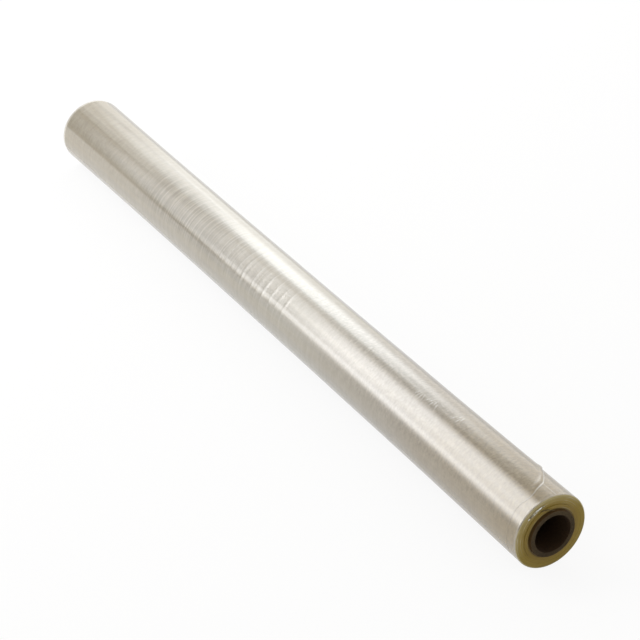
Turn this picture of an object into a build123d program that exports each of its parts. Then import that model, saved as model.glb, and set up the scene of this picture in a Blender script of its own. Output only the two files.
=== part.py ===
from build123d import *
import os
from math import cos, radians, sin, sqrt

os.makedirs("parts", exist_ok=True)

# A roll of clear shrink film wound on a paper tube. It lies on its side along X, with its torn end
# at +X, and rests on the two flat spots that its own weight presses into its rims.
# Lengths are in millimetres and angles in degrees. An angle round the roll is counted from the top,
# positive towards the front of the roll, which faces -Y.

# The paper tube
tube_bore_radius = 12.7
tube_wall = 3.2
tube_overhang = 2.5
tube_edge_break = 0.35

# The film as wound: fuller at its two rims than at mid-length
film_width = 610.0
winding_thickness = 9.3
waist_depth = 1.15
waist_power = 2.6
rim_round = 0.9
rim_runs = 4
side_runs = 12
flat_spot_width = 7.0

# Turns that slipped sideways together, from the tube outwards: how thick each band is, and how far
# it lies inside the rim, or outside it where the number is below zero
near_bands = ((0.9, -0.5), (1.0, -0.7), (1.0, -0.6), (1.3, 0.05), (1.4, 0.2), (1.2, 0.1), (1.3, 0.15))
far_bands = ((1.0, 0.6), (1.0, 0.8), (1.0, 0.7), (1.4, 0.1), (1.4, 0.2), (1.4, 0.1), (1.2, 0.15))

# Tight hoops where the film gathered, as distances from mid-length
hoop_places = (-69.0, -60.0, -51.5, -44.0, -36.0, -28.0, -16.0, -7.5, 0.0, 8.5, 18.0, 27.0)
hoop_base = 2.6
hoop_height = 0.2

# The loose end of the last turn: it stands off the roll, most of all near its free edge at the back
loose_arc = 202.0
free_edge_angle = -82.0
loose_lift = 0.3
loose_offset = 0.24
loose_offset_angle = -60.0
far_edge_inset = 3.0
near_edge_inset = 8.6
near_edge_curl = 0.3
near_edge_curl_length = 60.0

# The corner torn off the loose end: places on the tear, from the film's edge and round the roll
tear_places = (
    (8.6, 50.0),
    (9.4, 38.0),
    (8.3, 21.0),
    (11.4, 4.0),
    (14.4, -8.0),
    (24.0, -26.0),
    (31.0, -47.0),
    (46.0, -82.0),
)
tear_facing_angle = -12.0
cutter_reach = 6.0

tube_outer_radius = tube_bore_radius + tube_wall
tube_length = film_width + 2 * tube_overhang
rim_radius = tube_outer_radius + winding_thickness
film_end = film_width / 2
axis_height = sqrt(rim_radius**2 - (flat_spot_width / 2) ** 2)
roll_centre = Vector(0, 0, axis_height)


def section_plane(angle, centre=roll_centre):
    """The plane through a lengthwise axis at an angle round it: X along the roll, Y outwards."""
    turned = radians(angle)
    return Plane(centre, x_dir=(1, 0, 0), z_dir=(0, -cos(turned), -sin(turned)))


def wound_radius(x):
    """The radius of the tight winding at a distance from mid-length."""
    share = min(1.0, abs(x) / (film_end - rim_round))
    return rim_radius - waist_depth * (1 - share**waist_power)


def loose_radius(x):
    """The radius of the loose last turn, which curls up a little before its near edge."""
    into_curl = x - (film_end - near_edge_inset - near_edge_curl_length)
    curl = near_edge_curl * max(0.0, into_curl / near_edge_curl_length)
    return wound_radius(x) + loose_lift + curl


def stepped_face(bands, side):
    """The outline of one end of the winding, from the tube out to where the rim rounds over."""
    points = []
    radius = tube_outer_radius
    room = rim_radius - rim_round - tube_outer_radius
    scale = room / sum(band[0] for band in bands)
    for thickness, inset in bands:
        x = side * (film_end - inset)
        points += [(x, radius), (x, radius + thickness * scale)]
        radius += thickness * scale
    return points + [(side * film_end, radius)]


def rounded_rim(side):
    """The round between an end of the winding and its side, from the end outwards."""
    turns = [radians(90 * i / rim_runs) for i in range(rim_runs + 1)]
    return [
        (side * (film_end - rim_round * (1 - cos(turn))), rim_radius - rim_round * (1 - sin(turn)))
        for turn in turns
    ]


def side_outline(radius_at, start, end):
    """Points along the roll's side: the waist in short straight runs, and each hoop as a low ridge."""
    points = [
        (x, radius_at(x))
        for x in [start + (end - start) * i / side_runs for i in range(side_runs + 1)]
        if all(abs(x - hoop) > hoop_base for hoop in hoop_places)
    ]
    for hoop in hoop_places:
        points.append((hoop - hoop_base / 2, radius_at(hoop)))
        points.append((hoop, radius_at(hoop) + hoop_height))
        points.append((hoop + hoop_base / 2, radius_at(hoop)))
    return sorted(points)


# Paper tube, cut square with its edges broken
with BuildPart() as paper_tube:
    with BuildSketch(Plane.YZ.offset(-tube_length / 2)):
        with Locations((0, axis_height)):
            Circle(tube_outer_radius)
            Circle(tube_bore_radius, mode=Mode.SUBTRACT)
    extrude(amount=tube_length)
    cut_ends = paper_tube.faces().filter_by(Axis.X)
    chamfer(cut_ends.edges(), tube_edge_break)

# Film: the tight winding, with its stepped ends, rounded rims, waist and hoops
roll_axis = Axis(roll_centre, (1, 0, 0))
rim_start = film_end - rim_round
with BuildPart() as tight_turns:
    with BuildSketch(section_plane(0)):
        with BuildLine():
            near_face = Polyline(*stepped_face(near_bands, 1))
            far_face = Polyline(*stepped_face(far_bands, -1))
            Polyline(*rounded_rim(1))
            Polyline(*rounded_rim(-1))
            Polyline(*side_outline(wound_radius, -rim_start, rim_start))
            Line(far_face @ 0, near_face @ 0)
        make_face()
    revolve(axis=roll_axis)

# Film: the loose last turn, round a centre that is set off towards its free edge
offset_plane = section_plane(loose_offset_angle)
loose_centre = roll_centre + offset_plane.y_dir * loose_offset
loose_axis = Axis(loose_centre, (1, 0, 0))
loose_start = -film_end + far_edge_inset
loose_end = film_end - near_edge_inset
mid_winding = rim_radius - winding_thickness / 2
with BuildPart() as film_roll:
    with BuildSketch(section_plane(free_edge_angle, loose_centre)):
        with BuildLine():
            skin = Polyline(*side_outline(loose_radius, loose_start, loose_end))
            Polyline(skin @ 1, (loose_end, mid_winding), (loose_start, mid_winding), skin @ 0)
        make_face()
    revolve(axis=loose_axis, revolution_arc=loose_arc)

    # The corner torn off at the near end
    with BuildSketch(section_plane(tear_facing_angle).rotated((-90, 0, 0))):
        with BuildLine():
            tear = Spline(
                *[
                    (film_end - back, rim_radius * sin(radians(tear_facing_angle - angle)))
                    for back, angle in tear_places
                ]
            )
            beyond = film_end + cutter_reach
            top = rim_radius + cutter_reach
            Polyline(tear @ 1, (film_end - tear_places[-1][0], top), (beyond, top))
            Polyline((beyond, top), (beyond, (tear @ 0).Y), tear @ 0)
        make_face()
    extrude(amount=rim_radius + cutter_reach, mode=Mode.SUBTRACT)

    add(tight_turns.part)

    # The flat spots under the two rims
    split(bisect_by=Plane.XY, keep=Keep.TOP)

paper_tube.part.label = "paper_tube"
film_roll.part.label = "film_roll"

export_step(paper_tube.part, "parts/paper_tube.step")
export_step(film_roll.part, "parts/film_roll.step")
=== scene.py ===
import bpy
import bmesh
from math import atan2, cos, degrees, exp, hypot, pi, radians, sin
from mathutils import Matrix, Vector, noise


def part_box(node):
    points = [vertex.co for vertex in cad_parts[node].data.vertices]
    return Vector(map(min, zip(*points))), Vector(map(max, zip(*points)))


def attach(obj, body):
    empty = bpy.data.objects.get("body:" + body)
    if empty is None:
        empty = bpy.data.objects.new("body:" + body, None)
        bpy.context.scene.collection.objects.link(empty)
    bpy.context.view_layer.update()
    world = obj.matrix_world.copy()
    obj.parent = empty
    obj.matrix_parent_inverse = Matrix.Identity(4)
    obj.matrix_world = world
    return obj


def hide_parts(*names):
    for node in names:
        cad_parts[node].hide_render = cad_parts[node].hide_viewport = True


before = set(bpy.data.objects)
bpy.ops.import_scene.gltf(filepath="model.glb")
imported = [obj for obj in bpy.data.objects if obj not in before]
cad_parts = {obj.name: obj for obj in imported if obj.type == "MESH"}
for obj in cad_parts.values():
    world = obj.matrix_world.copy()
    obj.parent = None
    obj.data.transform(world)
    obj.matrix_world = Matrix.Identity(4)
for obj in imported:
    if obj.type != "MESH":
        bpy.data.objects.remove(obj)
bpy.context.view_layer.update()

# The paper tube: brown paper plies wound in a spiral and glued, cut square and left bare.
# The film is wound on it and it stands out a little at both ends. Its cut ends show the plies,
# and the seam of the spiral runs down its bore.
mm = 0.001
tube_low, tube_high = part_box("paper_tube")
tube_end = tube_high.x
tube_outer = (tube_high.y - tube_low.y) / 2
tube_wall = 3.2 * mm
tube_bore = tube_outer - tube_wall
axis_height = (tube_low.z + tube_high.z) / 2
roll_centre = Vector((0, 0, axis_height))
tube_facets = 128
tube_edge_break = 0.35 * mm
ply_count = 6
ply_relief = 0.09 * mm
bore_ring_spacing = 4 * mm
seam_pitch = 70 * mm
seam_depth = 0.16 * mm
seam_half_width = 4 * mm


def angle_round(point):
    """Degrees round the roll from the top, positive towards the front."""
    return degrees(atan2(-point.y, point.z - axis_height))


def radius_of(point):
    """Distance from the roll's axis."""
    return hypot(point.y, point.z - axis_height)


def set_radius(point, radius):
    """Moves a point straight out or in to a radius."""
    change = radius / radius_of(point)
    point.y *= change
    point.z = axis_height + (point.z - axis_height) * change


def hump(distance, half_width):
    """A smooth hump, 1 at its middle and close to 0 at one half width."""
    return exp(-((1.6 * distance / half_width) ** 2))


def draw_outline(name, places):
    """Draws a line above the roll's axis, point by point. A place is a distance along and a radius."""
    bpy.ops.object.select_all(action="DESELECT")
    start_x, start_radius = places[0]
    bpy.ops.mesh.primitive_plane_add(size=mm, location=(start_x, 0, axis_height + start_radius))
    piece = bpy.context.active_object
    piece.name = name
    piece.data.name = name
    bpy.ops.object.transform_apply(location=True, rotation=True, scale=True)
    bpy.ops.object.mode_set(mode="EDIT")
    bpy.ops.mesh.select_all(action="SELECT")
    bpy.ops.mesh.merge(type="CENTER")
    for (x, radius), (next_x, next_radius) in zip(places, places[1:]):
        step = (next_x - x, 0, next_radius - radius)
        bpy.ops.mesh.extrude_region_move(TRANSFORM_OT_translate={"value": step})
    bpy.ops.object.mode_set(mode="OBJECT")
    return piece


def spin_outline(piece, facets):
    """Spins a closed outline round the roll's axis, joins it up and turns its faces outwards."""
    bpy.ops.object.mode_set(mode="EDIT")
    bpy.ops.mesh.select_all(action="SELECT")
    bpy.ops.mesh.spin(steps=facets, angle=2 * pi, center=roll_centre, axis=(1, 0, 0))
    bpy.ops.mesh.select_all(action="SELECT")
    bpy.ops.mesh.remove_doubles(threshold=mm / 1000)
    bpy.ops.mesh.normals_make_consistent(inside=False)
    bpy.ops.object.mode_set(mode="OBJECT")


def smooth_shading(piece, angle):
    """Smooths the shading over every edge that is flatter than an angle."""
    bpy.ops.object.select_all(action="DESELECT")
    bpy.context.view_layer.objects.active = piece
    piece.select_set(True)
    bpy.ops.object.shade_smooth_by_angle(angle=radians(angle))


def tube_end_outline(side):
    """One cut end of the tube, from the outside to the bore: broken edges and proud plies."""
    wall_between = tube_wall - 2 * tube_edge_break
    places = [(tube_end - tube_edge_break, tube_outer)]
    places.append((tube_end - 0.3 * tube_edge_break, tube_outer - 0.3 * tube_edge_break))
    for i in range(2 * ply_count + 1):
        back = ply_relief if i % 2 else 0.0
        share = i / (2 * ply_count)
        places.append((tube_end - back, tube_outer - tube_edge_break - wall_between * share))
    places.append((tube_end - 0.3 * tube_edge_break, tube_bore + 0.3 * tube_edge_break))
    places.append((tube_end - tube_edge_break, tube_bore))
    return [(side * x, radius) for x, radius in places]


bore_reach = tube_end - tube_edge_break
bore_rings = int(2 * bore_reach / bore_ring_spacing)
bore_line = [(bore_reach * (1 - 2 * i / bore_rings), tube_bore) for i in range(1, bore_rings)]
tube_places = tube_end_outline(1) + bore_line + tube_end_outline(-1)[::-1]
paper_tube = draw_outline("wound_paper_tube", tube_places + tube_places[:1])
spin_outline(paper_tube, tube_facets)

for vertex in paper_tube.data.vertices:
    point = vertex.co
    angle = angle_round(point)
    frayed = noise.noise(Vector((point.x * 8, point.y / (2.5 * mm), point.z / (2.5 * mm))))
    if abs(point.x) > tube_end - 2 * tube_edge_break:
        point.x += 0.09 * mm * frayed
    if radius_of(point) < tube_bore + 0.01 * mm and abs(point.x) < bore_reach - mm:
        off_seam = (point.x / seam_pitch - angle / 360 + 0.5) % 1 - 0.5
        set_radius(point, tube_bore + seam_depth * hump(off_seam * seam_pitch, seam_half_width))
smooth_shading(paper_tube, 50)


def new_material(name):
    """A material, its Principled shader, and object coordinates centred on the roll's axis."""
    material = bpy.data.materials.new(name)
    material.use_nodes = True
    nodes = material.node_tree.nodes
    place = nodes.new("ShaderNodeTexCoord")
    centred = nodes.new("ShaderNodeMapping")
    centred.inputs["Location"].default_value = (0, 0, -axis_height)
    material.node_tree.links.new(place.outputs["Object"], centred.inputs["Vector"])
    return material, nodes["Principled BSDF"], centred.outputs["Vector"]


def link(material, output, socket):
    """Joins two sockets of a material."""
    material.node_tree.links.new(output, socket)


def stretched_noise(material, place, scale, detail=2.0, roughness=0.5):
    """Noise whose grain is scaled along each axis, in grains per metre."""
    nodes = material.node_tree.nodes
    stretch = nodes.new("ShaderNodeMapping")
    stretch.vector_type = "POINT"
    stretch.inputs["Scale"].default_value = scale
    grain = nodes.new("ShaderNodeTexNoise")
    grain.inputs["Scale"].default_value = 1.0
    grain.inputs["Detail"].default_value = detail
    grain.inputs["Roughness"].default_value = roughness
    link(material, place, stretch.inputs["Vector"])
    link(material, stretch.outputs["Vector"], grain.inputs["Vector"])
    return grain.outputs["Fac"]


def colour_ramp(material, factor, stops):
    """Colours along a factor. A stop is a position and a colour as red, green and blue out of 255."""
    ramp = material.node_tree.nodes.new("ShaderNodeValToRGB")
    elements = ramp.color_ramp.elements
    while len(elements) < len(stops):
        elements.new(0.5)
    for element, (position, colour) in zip(elements, stops):
        element.position = position
        element.color = linear_colour(colour)
    link(material, factor, ramp.inputs["Fac"])
    return ramp.outputs["Color"]


def linear_colour(colour):
    """A screen colour out of 255 as the linear colour that a shader takes."""
    parts = [part / 255 for part in colour]
    linear = [((part + 0.055) / 1.055) ** 2.4 if part > 0.04045 else part / 12.92 for part in parts]
    return (*linear, 1.0)


def mix_colours(material, factor, first, second, blend="MIX"):
    """Mixes two colour outputs by a factor, which is an output or a number."""
    mix = material.node_tree.nodes.new("ShaderNodeMix")
    mix.data_type = "RGBA"
    mix.blend_type = blend
    if isinstance(factor, float):
        mix.inputs["Factor"].default_value = factor
    else:
        link(material, factor, mix.inputs["Factor"])
    link(material, first, mix.inputs["A"])
    link(material, second, mix.inputs["B"])
    return mix.outputs["Result"]


def map_range(material, value, low, high, new_low, new_high):
    """Scales a value from one range to another, held at its ends."""
    scale = material.node_tree.nodes.new("ShaderNodeMapRange")
    scale.inputs["From Min"].default_value = low
    scale.inputs["From Max"].default_value = high
    scale.inputs["To Min"].default_value = new_low
    scale.inputs["To Max"].default_value = new_high
    link(material, value, scale.inputs["Value"])
    return scale.outputs["Result"]


def add_bump(material, height, strength, distance, under=None):
    """A bump node over an earlier one."""
    bump = material.node_tree.nodes.new("ShaderNodeBump")
    bump.inputs["Strength"].default_value = strength
    bump.inputs["Distance"].default_value = distance
    link(material, height, bump.inputs["Height"])
    if under is not None:
        link(material, under, bump.inputs["Normal"])
    return bump.outputs["Normal"]


tube_paper, shader, place = new_material("tube_paper")
fibres = stretched_noise(tube_paper, place, (700, 900, 900), 4.0, 0.6)
blotches = stretched_noise(tube_paper, place, (60, 80, 80), 3.0)
paper_brown = colour_ramp(tube_paper, fibres, [(0.3, (59, 48, 30)), (0.7, (80, 67, 44))])
paper_stain = colour_ramp(tube_paper, blotches, [(0.35, (200, 190, 178)), (0.65, (255, 252, 246))])
tube_parts = tube_paper.node_tree.nodes.new("ShaderNodeSeparateXYZ")
link(tube_paper, place, tube_parts.inputs["Vector"])
across = tube_paper.node_tree.nodes.new("ShaderNodeMapping")
across.inputs["Scale"].default_value = (0, 1, 1)
link(tube_paper, place, across.inputs["Vector"])
from_axis = tube_paper.node_tree.nodes.new("ShaderNodeVectorMath")
from_axis.operation = "LENGTH"
link(tube_paper, across.outputs["Vector"], from_axis.inputs[0])
# The outside, where it stands out of the film, is tinted amber; the bore is darkened with painted
# shade, and the cut ends get a little darker towards it
by_radius = map_range(tube_paper, from_axis.outputs["Value"], tube_bore, tube_outer, 0.0, 1.0)
amber_and_painted_bore_shade = colour_ramp(
    tube_paper,
    by_radius,
    [(0.0, (200, 170, 130)), (0.06, (235, 235, 235)), (0.9, (255, 255, 255)), (0.97, (255, 220, 120))],
)
bare_paper = mix_colours(tube_paper, 0.7, paper_brown, paper_stain, "MULTIPLY")
paper_with_painted_shade = mix_colours(tube_paper, 1.0, bare_paper, amber_and_painted_bore_shade, "MULTIPLY")
link(tube_paper, paper_with_painted_shade, shader.inputs["Base Color"])
shader.inputs["Roughness"].default_value = 0.88
shader.inputs["Specular IOR Level"].default_value = 0.3
link(tube_paper, add_bump(tube_paper, fibres, 0.5, 0.1 * mm), shader.inputs["Normal"])
paper_tube.data.materials.append(tube_paper)

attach(paper_tube, "root")
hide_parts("paper_tube")

# The wound film: many turns of thin clear film, pulled tight. They look pearly from the side and
# olive from the end, where the light comes through their edges. Bands of turns have slipped a
# little sideways, the rims are rounded over, and hoops of gathered film show near mid-length.
film_end = -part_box("film_roll")[0].x
rim_radius = 25.2 * mm
waist_depth = 1.15 * mm
waist_power = 2.6
rim_round = 0.9 * mm
rim_runs = 4
side_spacing = 1.5 * mm
film_facets = 144
# Bands of turns that slipped sideways together: how thick, and how far each lies inside the rim
near_bands = ((0.9, -0.5), (1.0, -0.7), (1.0, -0.6), (1.3, 0.0), (1.4, 0.15), (1.2, 0.1), (1.3, 0.15))
far_bands = ((1.0, 0.6), (1.0, 0.8), (1.0, 0.7), (1.4, 0.1), (1.4, 0.2), (1.4, 0.1), (1.2, 0.15))
turns_in_band = 4
turn_relief = 0.09 * mm
# Hoops of gathered film: their places along the roll and their heights, in millimetres
hoop_places = (-69.0, -60.0, -51.5, -44.0, -36.0, -28.0, -16.0, -7.5, 0.0, 8.5, 18.0, 27.0)
hoop_heights = (0.03, 0.05, 0.06, 0.035, 0.05, 0.065, 0.055, 0.04, 0.06, 0.055, 0.045, 0.05)
hoop_half_width = 2.0 * mm
hoop_sway = 0.9 * mm
# Nests of small pleats: place along, degrees round, how many pleats, how far apart, and how white
pleat_nests = (
    (-256.0, 22.0, 2, 1.3, 0.06),
    (112.0, 9.0, 2, 1.0, 0.2),
    (173.0, 15.0, 4, 2.4, 0.4),
    (185.0, 11.0, 5, 2.2, 0.42),
    (209.0, 3.0, 4, 1.7, 0.42),
)
pleat_height = 0.1 * mm
pleat_half_width = 0.55 * mm
pleat_reach = 9.0
# One fine crease runs in from the near rim
crease_angle = -7.0
crease_start = film_end - 14 * mm


def wound_radius(x):
    """The radius of the tight winding at a distance from mid-length."""
    share = min(1.0, abs(x) / (film_end - rim_round))
    return rim_radius - waist_depth * (1 - share**waist_power)


def surface_relief(x, angle):
    """How far the wound surface stands out of a smooth one: hoops, ripples and long soft waves."""
    turned = radians(angle)
    around = Vector((0, cos(turned), sin(turned)))
    total = 0.0
    shown = 0.15 + 0.85 * hump(angle - 52, 62)
    for place, height, i in zip(hoop_places, hoop_heights, range(len(hoop_places))):
        middle = place * mm + hoop_sway * sin(turned * 1.3 + 2.1 * i)
        if abs(x - middle) < 2 * hoop_half_width:
            strength = shown * (0.8 + 0.3 * noise.noise(around + Vector((i * 7.3, 0, 0))))
            total += height * mm * strength * hump(x - middle, hoop_half_width)
    for place, nest_angle, count, spread, whiteness in pleat_nests:
        if abs(x - place * mm) < 6 * mm and abs(angle - nest_angle) < 2.5 * pleat_reach:
            for i in range(count):
                lean = (i - (count - 1) / 2) * spread * (1 + 0.06 * (angle - nest_angle)) * mm
                length = pleat_reach * (0.7 + 0.3 * sin(5.0 * i + place))
                off_middle = angle - nest_angle - 3 * sin(3.0 * i + place)
                ridge = hump(x - place * mm - lean, pleat_half_width)
                total += pleat_height * ridge * hump(off_middle, length)
    ripples = noise.noise(around * 0.8 + Vector((x / (3.6 * mm), 0, 0)))
    ripples *= 1 + 2.2 * hump(x + 100 * mm, 90 * mm) * hump(angle - 50, 60)
    waves = noise.noise(around * 1.5 + Vector((x / (70 * mm), 5.0, 0)))
    near_share = min(1.0, max(0.0, (x + 150 * mm) / (300 * mm)))
    return total + 0.008 * mm * ripples + (0.03 + 0.06 * near_share) * mm * waves


def wrinkling(x, angle):
    """How strong the film's fine wrinkles are: the far half and the underside are pulled smoothest."""
    near_share = min(1.0, max(0.0, (x - 50 * mm) / (120 * mm)))
    at_top = hump(angle + 20, 52)
    at_front = min(1.0, max(0.0, (82 - angle) / 25))
    plain = 0.1 + 0.25 * near_share + 0.3 * at_front + 0.5 * near_share * at_front
    plain *= (1 - 0.7 * at_top * (1 - near_share)) * (1 - 0.4 * hump(x - 40 * mm, 110 * mm))
    crinkled = min(1.0, max(0.0, (x + 20 * mm) / (80 * mm))) * hump(angle - 2, 26)
    return min(1.4, plain + 0.9 * crinkled)


def crest_whitening_and_painted_highlight(x, angle):
    """How white the crests of the hoops and pleats are: film stretched white, and on the hoops also a
    painted highlight, strongest 34 degrees towards the front.
    """
    turned = radians(angle)
    white = 0.0
    for place, height, i in zip(hoop_places, hoop_heights, range(len(hoop_places))):
        middle = place * mm + hoop_sway * sin(turned * 1.3 + 2.1 * i)
        patchy = 0.8 + 0.2 * noise.noise(Vector((i * 3.1, angle / 40, 0)))
        white = max(white, 2.6 * height * patchy * hump(x - middle, 0.8 * mm) * hump(angle - 34, 60))
    for place, nest_angle, count, spread, whiteness in pleat_nests:
        for i in range(count):
            lean = (i - (count - 1) / 2) * spread * (1 + 0.06 * (angle - nest_angle)) * mm
            off_middle = angle - nest_angle - 3 * sin(3.0 * i + place)
            ridge = hump(x - place * mm - lean, pleat_half_width)
            white = max(white, whiteness * ridge * hump(off_middle, 0.7 * pleat_reach))
    return white


def slipped_face(bands, side):
    """One end of the winding, from the tube to the rim's round: slipped bands with their turns."""
    room = rim_radius - rim_round - tube_outer
    scale = room / sum(band[0] for band in bands)
    radius = tube_outer
    places = []
    for thickness, inset in bands:
        turn = thickness * scale / turns_in_band
        for i in range(turns_in_band + 1):
            # Each turn's edge is a low step, higher or lower than the one before it
            slip = turn_relief * noise.noise(Vector((radius / (0.4 * mm), side * 3.0, 0)))
            places.append((side * (film_end - inset * mm + slip), radius + i * turn))
        radius += thickness * scale
    return places + [(side * film_end, radius)]


def rounded_rim(side):
    """The round between an end of the winding and its side, from the end outwards."""
    turns = [radians(90 * i / rim_runs) for i in range(1, rim_runs + 1)]
    return [
        (side * (film_end - rim_round * (1 - cos(turn))), rim_radius - rim_round * (1 - sin(turn)))
        for turn in turns
    ]


side_reach = film_end - rim_round
side_rings = int(2 * side_reach / side_spacing)
side_line = [side_reach * (1 - 2 * i / side_rings) for i in range(1, side_rings)]
film_places = slipped_face(near_bands, 1) + rounded_rim(1)
film_places += [(x, wound_radius(x)) for x in side_line]
film_places += rounded_rim(-1)[::-1] + slipped_face(far_bands, -1)[::-1]
wound_film = draw_outline("wound_film", film_places + film_places[:1])
spin_outline(wound_film, film_facets)

# The faces about the crease are made finer
bpy.ops.object.mode_set(mode="EDIT")
mesh = bmesh.from_edit_mesh(wound_film.data)
for face in mesh.faces:
    middle = face.calc_center_median()
    off_crease = abs(angle_round(middle) - crease_angle)
    on_side = crease_start - 2 * mm < middle.x < side_reach + 0.2 * mm
    face.select_set(on_side and off_crease < 5 and radius_of(middle) > rim_radius - mm)
bmesh.update_edit_mesh(wound_film.data)
bpy.ops.mesh.subdivide(number_cuts=3)
bpy.ops.object.mode_set(mode="OBJECT")

# White marks: the crease and far end whitened, and a painted highlight on the near rim
whitening_and_painted_highlight = wound_film.data.attributes.new("stretch_white_and_painted_highlight", "FLOAT", "POINT")
wrinkled = wound_film.data.attributes.new("wrinkled", "FLOAT", "POINT")
for vertex in wound_film.data.vertices:
    point = vertex.co
    angle = angle_round(point)
    radius = radius_of(point)
    if radius > rim_radius - waist_depth - 0.1 * mm and abs(point.x) < side_reach + 0.1 * mm:
        settled = min(1.0, (film_end - abs(point.x)) / (6 * mm))
        radius += surface_relief(point.x, angle) * settled
        if point.x > crease_start:
            off_crease = radians(angle - crease_angle) * radius
            crease_share = hump(off_crease, 0.6 * mm) * min(1.0, (film_end - point.x) / (2 * mm))
            radius += 0.1 * mm * crease_share
            whitening_and_painted_highlight.data[vertex.index].value = 0.2 * crease_share
        set_radius(point, radius)
    if point.x < 3 * mm - film_end:
        whitening_and_painted_highlight.data[vertex.index].value = 0.3
    # The near rim is painted pale, a painted highlight where its round would catch the light
    if point.x > film_end - 1.2 * mm and radius > rim_radius - 0.6 * mm:
        whitening_and_painted_highlight.data[vertex.index].value = 0.16
    if abs(point.x) > film_end - mm and radius < rim_radius - rim_round + 0.1 * mm:
        sway = noise.noise(Vector((point.x * 3, point.y / (9 * mm), point.z / (9 * mm))))
        point.x += 0.12 * mm * sway * min(1.0, (radius - tube_outer) / mm)
    wrinkled.data[vertex.index].value = wrinkling(point.x, angle)
    point.z = max(point.z, 0.0)
smooth_shading(wound_film, 35)


def scale_by(material, first, second):
    """Multiplies two values."""
    product = material.node_tree.nodes.new("ShaderNodeMath")
    product.operation = "MULTIPLY"
    link(material, first, product.inputs[0])
    link(material, second, product.inputs[1])
    return product.outputs["Value"]


pearl, shader, place = new_material("clear_film_side")
fine_streaks = stretched_noise(pearl, place, (600, 330, 330), 5.0, 0.7)
wide_streaks = stretched_noise(pearl, place, (300, 90, 90), 3.0)
long_streaks = stretched_noise(pearl, place, (8, 520, 520), 3.0)
clouding = stretched_noise(pearl, place, (14, 30, 30), 2.0)
along = pearl.node_tree.nodes.new("ShaderNodeSeparateXYZ")
link(pearl, place, along.inputs["Vector"])
clouded_place = pearl.node_tree.nodes.new("ShaderNodeMath")
clouded_place.operation = "MULTIPLY_ADD"
clouded_place.inputs[1].default_value = 0.12
link(pearl, clouding, clouded_place.inputs[0])
link(pearl, along.outputs["X"], clouded_place.inputs[2])
length_share = map_range(pearl, clouded_place.outputs["Value"], -film_end, film_end + 0.12, 0.0, 1.0)
pearl_tone = colour_ramp(
    pearl,
    length_share,
    [
        (0.0, (147, 137, 115)),
        (0.3, (159, 153, 139)),
        (0.55, (161, 156, 142)),
        (0.75, (153, 145, 129)),
        (0.9, (146, 130, 94)),
        (1.0, (140, 121, 75)),
    ],
)
streak_tone = colour_ramp(pearl, wide_streaks, [(0.35, (246, 244, 240)), (0.65, (255, 255, 255))])
# The white marks: film stretched white, and painted highlights on the torn lip, hoop crests and near
# rim
whiteness = pearl.node_tree.nodes.new("ShaderNodeAttribute")
whiteness.attribute_name = "stretch_white_and_painted_highlight"
white = pearl.node_tree.nodes.new("ShaderNodeRGB")
white.outputs["Color"].default_value = linear_colour((250, 249, 244))
long_tone = colour_ramp(pearl, long_streaks, [(0.3, (236, 233, 229)), (0.7, (255, 255, 255))])
soft_bands = stretched_noise(pearl, place, (2, 150, 150), 2.0)
band_tone = colour_ramp(pearl, soft_bands, [(0.38, (247, 248, 251)), (0.62, (255, 253, 249))])
film_tone = mix_colours(pearl, 1.0, pearl_tone, streak_tone, "MULTIPLY")
film_tone = mix_colours(pearl, 1.0, film_tone, band_tone, "MULTIPLY")
streaked_tone = mix_colours(pearl, 1.0, film_tone, long_tone, "MULTIPLY")
long_share = map_range(pearl, along.outputs["X"], -180 * mm, 40 * mm, 0.1, 0.4)
film_tone = mix_colours(pearl, long_share, film_tone, streaked_tone)
fleck_tone = colour_ramp(pearl, fine_streaks, [(0.36, (206, 202, 194)), (0.64, (255, 255, 255))])
wrinkle_share = pearl.node_tree.nodes.new("ShaderNodeAttribute")
wrinkle_share.attribute_name = "wrinkled"
flecked_tone = mix_colours(pearl, 1.0, film_tone, fleck_tone, "MULTIPLY")
film_tone = mix_colours(pearl, wrinkle_share.outputs["Fac"], film_tone, flecked_tone)
# Fine rings of gathered film between the hoops and on the far side of them
ring_streaks = stretched_noise(pearl, place, (420, 9, 9), 3.0, 0.6)
ring_tone = colour_ramp(pearl, ring_streaks, [(0.44, (216, 213, 206)), (0.58, (255, 255, 255))])
towards_front = pearl.node_tree.nodes.new("ShaderNodeVectorMath")
towards_front.operation = "DOT_PRODUCT"
towards_front.inputs[1].default_value = (0, -0.64, 0.77)
link(pearl, place, towards_front.inputs[0])
rings_front = map_range(pearl, towards_front.outputs["Value"], 18.5 * mm, 23 * mm, 0.15, 1.0)
rings_begin = map_range(pearl, along.outputs["X"], -200 * mm, -140 * mm, 0.1, 1.0)
rings_fade = map_range(pearl, along.outputs["X"], -100 * mm, 40 * mm, 1.0, 0.1)
ringed_tone = mix_colours(pearl, 1.0, film_tone, ring_tone, "MULTIPLY")
rings_shown = scale_by(pearl, scale_by(pearl, rings_begin, rings_fade), rings_front)
film_tone = mix_colours(pearl, rings_shown, film_tone, ringed_tone)
whitened = mix_colours(pearl, whiteness.outputs["Fac"], film_tone, white.outputs["Color"])
link(pearl, whitened, shader.inputs["Base Color"])
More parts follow.
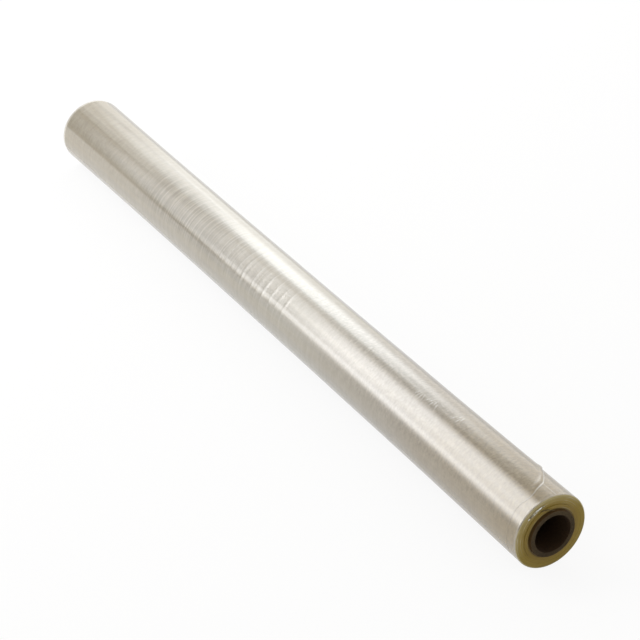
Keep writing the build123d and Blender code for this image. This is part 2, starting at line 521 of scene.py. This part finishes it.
# The film is pulled to a shine at the far end and gets duller towards the near end
sheen_share = map_range(pearl, along.outputs["X"], -film_end, film_end, 0.135, 0.22)
link(pearl, sheen_share, shader.inputs["Roughness"])
shader.inputs["Metallic"].default_value = 0.05
shader.inputs["IOR"].default_value = 2.3
shader.inputs["Anisotropic"].default_value = 0.4
shader.inputs["Anisotropic Rotation"].default_value = 0.25
shader.inputs["Coat Weight"].default_value = 0.2
shader.inputs["Coat Roughness"].default_value = 0.12
grain_way = pearl.node_tree.nodes.new("ShaderNodeTangent")
grain_way.direction_type = "RADIAL"
grain_way.axis = "X"
link(pearl, grain_way.outputs["Tangent"], shader.inputs["Tangent"])
fine_height = scale_by(pearl, fine_streaks, wrinkle_share.outputs["Fac"])
wide_height = scale_by(pearl, wide_streaks, wrinkle_share.outputs["Fac"])
streaked = add_bump(pearl, fine_height, 0.7, 0.035 * mm)
link(pearl, add_bump(pearl, wide_height, 0.2, 0.04 * mm, streaked), shader.inputs["Normal"])

olive, shader, place = new_material("clear_film_edge")
across = olive.node_tree.nodes.new("ShaderNodeMapping")
across.inputs["Scale"].default_value = (0, 1, 1)
link(olive, place, across.inputs["Vector"])
from_axis = olive.node_tree.nodes.new("ShaderNodeVectorMath")
from_axis.operation = "LENGTH"
link(olive, across.outputs["Vector"], from_axis.inputs[0])
turn_lines = olive.node_tree.nodes.new("ShaderNodeTexNoise")
turn_lines.noise_dimensions = "1D"
turn_lines.inputs["Scale"].default_value = 2600
turn_lines.inputs["Detail"].default_value = 3.0
link(olive, from_axis.outputs["Value"], turn_lines.inputs["W"])
depth = map_range(olive, from_axis.outputs["Value"], tube_outer, rim_radius, 0.0, 1.0)
# Darkest next to the tube, a painted shade from the tube that stands out; palest at the rim, partly the
# side film curling over it and partly a painted highlight
olive_tone = colour_ramp(
    olive,
    depth,
    [
        (0.0, (78, 58, 16)),
        (0.14, (132, 108, 14)),
        (0.5, (140, 117, 20)),
        (0.88, (144, 124, 40)),
        (0.94, (186, 174, 124)),
        (1.0, (196, 186, 146)),
    ],
)
line_stops = [(0.3, (212, 206, 190)), (0.7, (255, 255, 255))]
line_tone = colour_ramp(olive, turn_lines.outputs["Fac"], line_stops)
lined_tone = mix_colours(olive, 0.8, olive_tone, line_tone, "MULTIPLY")
# Towards the front and top, the edges of some turns, picked by noise, get a painted sheen, and the face
# is lightened there with painted light
proud_turns = olive.node_tree.nodes.new("ShaderNodeTexNoise")
proud_turns.noise_dimensions = "1D"
proud_turns.inputs["Scale"].default_value = 900
proud_turns.inputs["Detail"].default_value = 2.0
link(olive, from_axis.outputs["Value"], proud_turns.inputs["W"])
proud = map_range(olive, proud_turns.outputs["Fac"], 0.52, 0.66, 0.0, 1.0)
towards_front = olive.node_tree.nodes.new("ShaderNodeVectorMath")
towards_front.operation = "DOT_PRODUCT"
towards_front.inputs[1].default_value = (0, -0.5, 0.87)
link(olive, place, towards_front.inputs[0])
front_share = map_range(olive, towards_front.outputs["Value"], 0.0, 0.012, 0.0, 1.0)
patches = stretched_noise(olive, place, (100, 90, 90), 2.0)
painted_sheen_patches = map_range(olive, patches, 0.38, 0.6, 0.15, 1.0)
inner_limit = tube_outer + 2 * mm
outer_limit = rim_radius - 2 * mm
outer_share = map_range(olive, from_axis.outputs["Value"], inner_limit, outer_limit, 0.25, 1.0)
painted_sheen_share = scale_by(olive, painted_sheen_patches, outer_share)
painted_sheen = scale_by(olive, scale_by(olive, proud, front_share), painted_sheen_share)
# Painted light: the face is lightened towards the front and top, more towards the rim
painted_light_tone = olive.node_tree.nodes.new("ShaderNodeRGB")
painted_light_tone.outputs["Color"].default_value = linear_colour((196, 184, 140))
painted_light_share = scale_by(olive, front_share, map_range(olive, outer_share, 0.0, 1.0, 0.02, 0.2))
lined_tone = mix_colours(olive, painted_light_share, lined_tone, painted_light_tone.outputs["Color"])
painted_sheen_tone = olive.node_tree.nodes.new("ShaderNodeRGB")
painted_sheen_tone.outputs["Color"].default_value = linear_colour((206, 200, 172))
edge_tone = mix_colours(olive, painted_sheen, lined_tone, painted_sheen_tone.outputs["Color"])
link(olive, edge_tone, shader.inputs["Base Color"])
shader.inputs["Roughness"].default_value = 0.5
shader.inputs["Specular IOR Level"].default_value = 0.3
shader.inputs["Coat Weight"].default_value = 0.08
shader.inputs["Coat Roughness"].default_value = 0.15
link(olive, add_bump(olive, turn_lines.outputs["Fac"], 0.5, 0.05 * mm), shader.inputs["Normal"])

wound_film.data.materials.append(pearl)
wound_film.data.materials.append(olive)
for face in wound_film.data.polygons:
    at_end = abs(face.center.x) > film_end - 2 * mm
    face.material_index = 1 if at_end and radius_of(face.center) < rim_radius - 0.3 * mm else 0

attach(wound_film, "root")
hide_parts("film_roll")

# The last turn of film: it has come loose and stands a fraction of a millimetre off the roll, up to
# its free edge at the back. A corner of it is torn off at the near end, where the torn edge is painted
# white, partly as film stretched white and partly as a painted highlight on its lip, and lies down on
# the roll behind a low swell.
loose_thickness = 0.06 * mm
free_edge_angle = -82.0
loose_arc = 202.0
loose_lift = 0.3 * mm
loose_offset = 0.24 * mm
loose_offset_angle = -60.0
tuck_start_angle = 104.0
far_edge_inset = 3.0 * mm
loose_start = -film_end + far_edge_inset
near_edge_curl = 0.12 * mm
near_edge_curl_length = 60 * mm
near_edge_flare = 0.45 * mm
near_edge_flare_width = 7 * mm
drawn_length = 115 * mm
lip_width = 1.1 * mm
lip_height = 0.25 * mm
loose_facets = 64
creased_zones = ((-262, -250), (-76, 36), (105, 119), (167, 216), (286, 297))
creased_spacing = 0.45 * mm
plain_spacing = 1.7 * mm
# Places on the tear: degrees round the roll, and millimetres from the film's edge
tear_places = (
    (-95.0, 53.0),
    (-82.0, 49.0),
    (-64.0, 42.0),
    (-48.0, 36.0),
    (-38.0, 31.5),
    (-28.0, 25.4),
    (-18.0, 19.2),
    (-7.5, 14.0),
    (4.0, 11.6),
    (13.0, 9.6),
    (21.0, 8.3),
    (30.0, 8.7),
    (39.0, 9.5),
    (50.0, 10.0),
    (75.0, 9.0),
    (100.0, 8.6),
    (125.0, 8.6),
    (150.0, 8.6),
)


def tear_inset(angle):
    """How far the torn edge lies from the film's own edge, on a smooth line through its places."""
    last = len(tear_places) - 3
    i = next(k for k in range(1, last + 1) if k == last or angle <= tear_places[k + 1][0])
    before, start, end, after = tear_places[i - 1 : i + 3]
    share = (angle - start[0]) / (end[0] - start[0])
    leave = (end[1] - before[1]) / (end[0] - before[0]) * (end[0] - start[0])
    arrive = (after[1] - start[1]) / (after[0] - start[0]) * (end[0] - start[0])
    smooth = start[1] * (2 * share**3 - 3 * share**2 + 1) + leave * (share**3 - 2 * share**2 + share)
    smooth += end[1] * (3 * share**2 - 2 * share**3) + arrive * (share**3 - share**2)
    ragged = 0.25 * noise.noise(Vector((angle / 2.2, 3.0, 0)))
    ragged += 0.3 * noise.noise(Vector((angle / 7.0, 9.0, 0)))
    return (smooth + ragged) * mm


def loose_gap(x, angle):
    """How far the loose turn's outer face stands off the tight winding."""
    into_curl = x - (film_end - 8.6 * mm - near_edge_curl_length)
    curl = near_edge_curl * min(1.0, max(0.0, into_curl / near_edge_curl_length))
    gap = loose_lift + curl + loose_offset * cos(radians(angle - loose_offset_angle))
    # Past the tear the turn lies down on the roll again
    laid_down = min(1.0, max(0.0, (angle + 20) / 40))
    laid_down *= min(1.0, max(0.0, into_curl / near_edge_curl_length))
    gap -= (gap - 0.08 * mm) * laid_down
    tucked = max(0.0, angle - tuck_start_angle) / (free_edge_angle + loose_arc - tuck_start_angle)
    return gap - 0.35 * mm * tucked**2


def column_places():
    """Where the loose turn's columns of faces stand: closer where the film is creased."""
    x = loose_start
    places = [x]
    while x < film_end - 8.6 * mm:
        dense = any(start * mm < x < end * mm for start, end in creased_zones)
        x += creased_spacing if dense else plain_spacing
        places.append(x)
    # The last column is the torn edge
    places[-1] = film_end - 8.6 * mm
    return places


columns = column_places()
bpy.ops.object.select_all(action="DESELECT")
bpy.ops.mesh.primitive_grid_add(x_subdivisions=len(columns) - 1, y_subdivisions=loose_facets, size=1)
last_turn = bpy.context.active_object
last_turn.name = "loose_last_turn"
last_turn.data.name = "loose_last_turn"
stretch_white_and_painted_highlight = last_turn.data.attributes.new("stretch_white_and_painted_highlight", "FLOAT", "POINT")
wrinkled = last_turn.data.attributes.new("wrinkled", "FLOAT", "POINT")
for vertex in last_turn.data.vertices:
    point = vertex.co
    column = round((point.x + 0.5) * (len(columns) - 1))
    angle = free_edge_angle + loose_arc * (point.y + 0.5)
    edge_x = film_end - tear_inset(angle)
    plain_x = columns[column]
    # Only the last stretch of the turn is drawn back to the tear
    drawn = max(0.0, 1 - (columns[-1] - plain_x) / drawn_length)
    x = plain_x + (edge_x - columns[-1]) * drawn**1.5
    to_edge = edge_x - x
    # The torn edge is pressed down on the roll, behind a low swell
    lip = max(0.0, 1 - to_edge / lip_width)
    swell = lip_height * hump(to_edge - 3 * mm, 3 * mm) * hump(angle + 30, 50)
    flare = near_edge_flare * hump(to_edge, near_edge_flare_width) * hump(angle + 60, 45)
    gap = loose_gap(x, angle)
    gap += swell + flare - (gap + swell - 0.07 * mm) * lip**2
    radius = wound_radius(x) + surface_relief(x, angle) + gap
    point.x = x
    point.y = -radius * sin(radians(angle))
    point.z = axis_height + radius * cos(radians(angle))
    # The torn edge's white is partly stretched film and partly a painted highlight, strongest a little
    # behind the top
    whitened = min(1.0, 2.4 * lip) * (0.03 + 0.97 * hump(angle + 22, 50))
    stretch_white_and_painted_highlight.data[vertex.index].value = max(whitened, crest_whitening_and_painted_highlight(x, angle))
    wrinkled.data[vertex.index].value = wrinkling(x, angle)

thicken = last_turn.modifiers.new("film_thickness", "SOLIDIFY")
thicken.thickness = loose_thickness
thicken.offset = -1
bpy.ops.object.select_all(action="DESELECT")
bpy.context.view_layer.objects.active = last_turn
last_turn.select_set(True)
bpy.ops.object.mode_set(mode="EDIT")
bpy.ops.mesh.select_all(action="SELECT")
bpy.ops.mesh.normals_make_consistent(inside=False)
bpy.ops.object.mode_set(mode="OBJECT")
if last_turn.data.polygons[0].normal.dot(last_turn.data.polygons[0].center - roll_centre) < 0:
    last_turn.data.flip_normals()
bpy.ops.object.modifier_apply(modifier="film_thickness")
smooth_shading(last_turn, 40)

last_turn.data.materials.append(pearl)

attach(last_turn, "root")
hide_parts("film_roll")

# The crumpled edge: a turn part of the way in has its edge pulled out and crumpled. It lies on the
# near end of the roll as a small flap, painted white in patches as painted glints, then stands up as a
# dark lip that runs in to the tube.
# Each part is given by places on its foot: millimetres along, out from the axis, and degrees round.
flap_places = (
    (305.0, 22.3, 50.0),
    (305.1, 22.6, 40.0),
    (305.2, 22.7, 31.0),
    (305.2, 22.4, 22.0),
    (305.1, 21.9, 14.0),
)
lip_places = (
    (305.3, 20.0, 26.0),
    (305.6, 19.4, 19.0),
    (305.9, 18.7, 12.0),
    (306.4, 17.6, 6.0),
    (306.9, 16.5, -1.0),
)
crumple_columns = 72
crumple_rows = 6


def place_between(places, share):
    """A point part of the way along a list of places."""
    spot = share * (len(places) - 1)
    i = min(int(spot), len(places) - 2)
    part = spot - i
    return [a + (b - a) * part for a, b in zip(places[i], places[i + 1])]


def crumpled_strip(name, places, width, rise, crumple, whiteness):
    """A strip of crumpled film that starts on its places and leans in towards the axis."""
    bpy.ops.object.select_all(action="DESELECT")
    bpy.ops.mesh.primitive_grid_add(x_subdivisions=crumple_columns, y_subdivisions=crumple_rows, size=1)
    strip = bpy.context.active_object
    strip.name = name
    strip.data.name = name
    strip_white = strip.data.attributes.new("stretch_white_and_painted_highlight", "FLOAT", "POINT")
    for vertex in strip.data.vertices:
        share = vertex.co.x + 0.5
        up = vertex.co.y + 0.5
        along, out, angle = place_between(places, share)
        reach = width * up * (0.25 + 0.75 * sin(pi * min(1.0, share * 1.05 + 0.02)))
        spot = Vector((share * 17, up * 2.5, len(name)))
        x = along * mm + rise * reach + crumple * up * (0.6 + noise.noise(spot))
        radius = out * mm - (1 - rise) * reach + crumple * up * noise.noise(spot + Vector((0, 7, 0)))
        turned = radians(angle)
        vertex.co = Vector((x, -radius * sin(turned), axis_height + radius * cos(turned)))
        # Painted glints: patches picked by noise are painted white, up to the strip's whiteness
        bright = noise.noise(Vector((share * 9, up * 1.5, 4 + len(name))))
        strip_white.data[vertex.index].value = min(1.0, max(0.0, whiteness * (0.4 + 1.6 * bright)))
    thicken = strip.modifiers.new("film_thickness", "SOLIDIFY")
    thicken.thickness = 0.06 * mm
    thicken.offset = 0
    bpy.ops.object.modifier_apply(modifier="film_thickness")
    smooth_shading(strip, 30)
    return strip


crumpled, shader, place = new_material("clear_film_crumpled")
whiteness = crumpled.node_tree.nodes.new("ShaderNodeAttribute")
whiteness.attribute_name = "stretch_white_and_painted_highlight"
# Dark film, up to white where glints are painted
flap_tone = colour_ramp(
    crumpled,
    whiteness.outputs["Fac"],
    [(0.0, (66, 52, 18)), (0.1, (124, 110, 62)), (0.6, (190, 190, 170)), (1.0, (246, 252, 252))],
)
link(crumpled, flap_tone, shader.inputs["Base Color"])
shader.inputs["Roughness"].default_value = 0.12
shader.inputs["IOR"].default_value = 1.7

flap = crumpled_strip("crumpled_flap", flap_places, 1.7 * mm, 0.08, 0.22 * mm, 0.8)
lip_edge = crumpled_strip("crumpled_lip", lip_places, 0.9 * mm, 0.75, 0.15 * mm, 0.05)
for strip in (flap, lip_edge):
    strip.data.materials.append(crumpled)
    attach(strip, "root")
    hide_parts("film_roll")

# The floor: one plain pale sheet under the roll. It is as white as the page to the camera and in
# the film's reflections, and keeps a trace of the roll's shadow.
bpy.ops.object.select_all(action="DESELECT")
bpy.ops.mesh.primitive_plane_add(size=14)
floor = bpy.context.active_object
floor.name = "studio_floor"
pale, shader, place = new_material("studio_floor")
shader.inputs["Base Color"].default_value = (0.8, 0.8, 0.8, 1)
shader.inputs["Roughness"].default_value = 0.9
shader.inputs["Specular IOR Level"].default_value = 0.1
white = pale.node_tree.nodes.new("ShaderNodeEmission")
white.inputs["Color"].default_value = (1, 1, 1, 1)
white.inputs["Strength"].default_value = 1.0
seen = pale.node_tree.nodes.new("ShaderNodeLightPath")
in_view = pale.node_tree.nodes.new("ShaderNodeMath")
in_view.operation = "MAXIMUM"
link(pale, seen.outputs["Is Camera Ray"], in_view.inputs[0])
link(pale, seen.outputs["Is Glossy Ray"], in_view.inputs[1])
through = pale.node_tree.nodes.new("ShaderNodeMath")
through.operation = "MAXIMUM"
link(pale, in_view.outputs["Value"], through.inputs[0])
link(pale, seen.outputs["Is Transmission Ray"], through.inputs[1])
share = map_range(pale, through.outputs["Value"], 0.0, 1.0, 0.0, 0.9)
blend = pale.node_tree.nodes.new("ShaderNodeMixShader")
link(pale, share, blend.inputs["Fac"])
link(pale, shader.outputs["BSDF"], blend.inputs[1])
link(pale, white.outputs["Emission"], blend.inputs[2])
link(pale, blend.outputs["Shader"], pale.node_tree.nodes["Material Output"].inputs["Surface"])
floor.data.materials.append(pale)

# The lights: an even pale room with soft panels round the roll, in front of it, over it and behind
# it. Each panel is a long band that gives one lengthwise reflection. Panels that touch step the
# brightness up or down, so that the reflections have soft edges.


def soft_panel(name, low_angle, high_angle, x_from, x_to, radiance, tint=(1, 1, 1), distance=1.2):
    """A light panel along the roll, between two angles round it, that faces its axis."""
    low = Vector((0, -distance * sin(radians(low_angle)), distance * cos(radians(low_angle))))
    high = Vector((0, -distance * sin(radians(high_angle)), distance * cos(radians(high_angle))))
    middle = (low + high) / 2 + Vector(((x_from + x_to) / 2, 0, axis_height))
    light = bpy.data.lights.new(name, "AREA")
    light.shape = "RECTANGLE"
    light.size = x_to - x_from
    light.size_y = (high - low).length
    light.color = tint
    light.energy = radiance * pi * light.size * light.size_y
    lamp = bpy.data.objects.new(name, light)
    bpy.context.scene.collection.objects.link(lamp)
    lamp.location = middle
    facing = Vector((0, middle.y, middle.z - axis_height))
    lamp.rotation_mode = "QUATERNION"
    lamp.rotation_quaternion = facing.to_track_quat("Z", "Y")


# In front, from the floor upwards, and one pale line higher up: degrees from the top, and radiance
front_steps = (
    (90, 87, 0.9),
    (87, 84, 1.3),
    (84, 81, 1.9),
    (81, 78, 2.5),
    (78, 74, 3.1),
    (74, 64, 3.85),
    (43, 36, 0.6),
)
for low_angle, high_angle, radiance in front_steps:
    soft_panel(f"front_step_{low_angle}", low_angle, high_angle, -1.22, -0.3, radiance)
    soft_panel(f"front_step_far_{low_angle}", low_angle, high_angle, -1.4, -1.22, 0.5 * radiance)
soft_panel("front_high", 64, 12, -1.07, -0.3, 3.15)
soft_panel("front_high_middle", 64, 44, -1.22, -1.07, 2.75)
soft_panel("front_top_middle", 44, 16, -1.22, -1.07, 2.15)
soft_panel("front_near", 80, 16, -1.05, -0.8, 0.6)
soft_panel("front_far", 80, 16, -1.55, -1.22, 1.25)
soft_panel("front_far_wash", 76, 20, -1.42, -1.22, 0.4)

# Over the roll, where the front panels fade out
soft_panel("over_front", 12, 5, -1.07, -0.3, 2.3)
soft_panel("over_front_middle", 16, 6, -1.5, -1.07, 1.8)
soft_panel("over_top", 5, -2, -1.07, -0.3, 1.0)
soft_panel("over_top_middle", 6, -7, -1.5, -1.07, 1.15)
soft_panel("over_top_far", 18, 0, -2.1, -1.5, 0.5)

# Behind, where the light is a cooler white, from the top downwards
cool = (0.93, 0.97, 1.0)
soft_panel("back_rise", -7, -13, -1.5, -1.1, 1.5, cool)
soft_panel("back_shoulder", -13, -19, -1.5, -1.07, 2.4, cool)
soft_panel("back_main", -19, -47, -1.5, -0.98, 3.5, cool)
soft_panel("back_fall", -47, -54, -1.5, -0.98, 2.9, cool)
soft_panel("back_edge", -54, -60, -1.75, -0.98, 2.2, cool)
soft_panel("back_edge_low", -60, -67, -1.75, -0.98, 1.6, cool)
soft_panel("back_rise_middle", 0, -9, -1.75, -1.5, 1.1, cool)
soft_panel("back_main_middle", -9, -54, -1.75, -1.5, 1.65, cool)
soft_panel("back_far", 0, -64, -2.0, -1.75, 1.0, cool)
soft_panel("back_end", 0, -64, -2.6, -2.0, 0.6, cool)
soft_panel("back_low_middle", -67, -90, -1.75, -1.3, 1.2, cool)
soft_panel("back_low_far", -64, -90, -2.6, -1.75, 0.65, cool)

# Behind the torn end the light is plain white and weaker
soft_panel("back_near", -33, -57, -0.98, -0.84, 1.55)
soft_panel("back_near_fall", -57, -67, -0.98, -0.84, 1.0)
soft_panel("back_low", -67, -90, -1.3, -0.5, 0.75)
soft_panel("back_wash", -38, -67, -0.84, 0.1, 0.55)

# A weak fill on the torn end
soft_panel("fill", 60, 25, 0.4, 1.6, 0.6, distance=1.6)

# The room is darker low down in front and warmer behind
world = bpy.data.worlds.new("pale_room")
bpy.context.scene.world = world
world.use_nodes = True
sky = world.node_tree.nodes["Background"]
way = world.node_tree.nodes.new("ShaderNodeTexCoord")
way_parts = world.node_tree.nodes.new("ShaderNodeSeparateXYZ")
level = world.node_tree.nodes.new("ShaderNodeMapRange")
level.inputs["From Min"].default_value = -1.0
level.inputs["From Max"].default_value = 1.0
brightness = world.node_tree.nodes.new("ShaderNodeValToRGB")
brightness.color_ramp.interpolation = "B_SPLINE"
room_levels = ((0.0, 0.35), (0.25, 0.38), (0.45, 0.56), (0.62, 0.66), (0.8, 0.95), (1.0, 0.95))
back_warmth = (1.0, 0.962, 0.893)
while len(brightness.color_ramp.elements) < len(room_levels):
    brightness.color_ramp.elements.new(0.5)
for stop, (position, grey) in zip(brightness.color_ramp.elements, room_levels):
    stop.position = position
    warmth = min(1.0, max(0.0, (position - 0.4) / 0.2))
    stop.color = (*[grey * (1 - warmth * (1 - part)) for part in back_warmth], 1)
world.node_tree.links.new(way.outputs["Generated"], way_parts.inputs["Vector"])
world.node_tree.links.new(way_parts.outputs["Y"], level.inputs["Value"])
world.node_tree.links.new(level.outputs["Result"], brightness.inputs["Fac"])
world.node_tree.links.new(brightness.outputs["Color"], sky.inputs["Color"])
bpy.context.scene.view_settings.view_transform = "Standard"

# The camera: a long lens that looks down along the roll from its torn end, as far from it as the
# photo's outline of the roll gives.
camera_azimuth = radians(59.173)
camera_elevation = radians(31.322)
camera_distance = 1.5359
camera_target = Vector((41.4 * mm, 0, axis_height + 7.6 * mm))
lens = bpy.data.cameras.new("camera")
lens.sensor_width = 36.0
lens.lens = 129.25
camera = bpy.data.objects.new("camera", lens)
bpy.context.scene.collection.objects.link(camera)
backwards = Vector(
    (
        sin(camera_azimuth) * cos(camera_elevation),
        -cos(camera_azimuth) * cos(camera_elevation),
        sin(camera_elevation),
    )
)
camera.location = camera_target + camera_distance * backwards
camera.rotation_mode = "QUATERNION"
camera.rotation_quaternion = (-backwards).to_track_quat("-Z", "Y")
bpy.context.scene.camera = camera
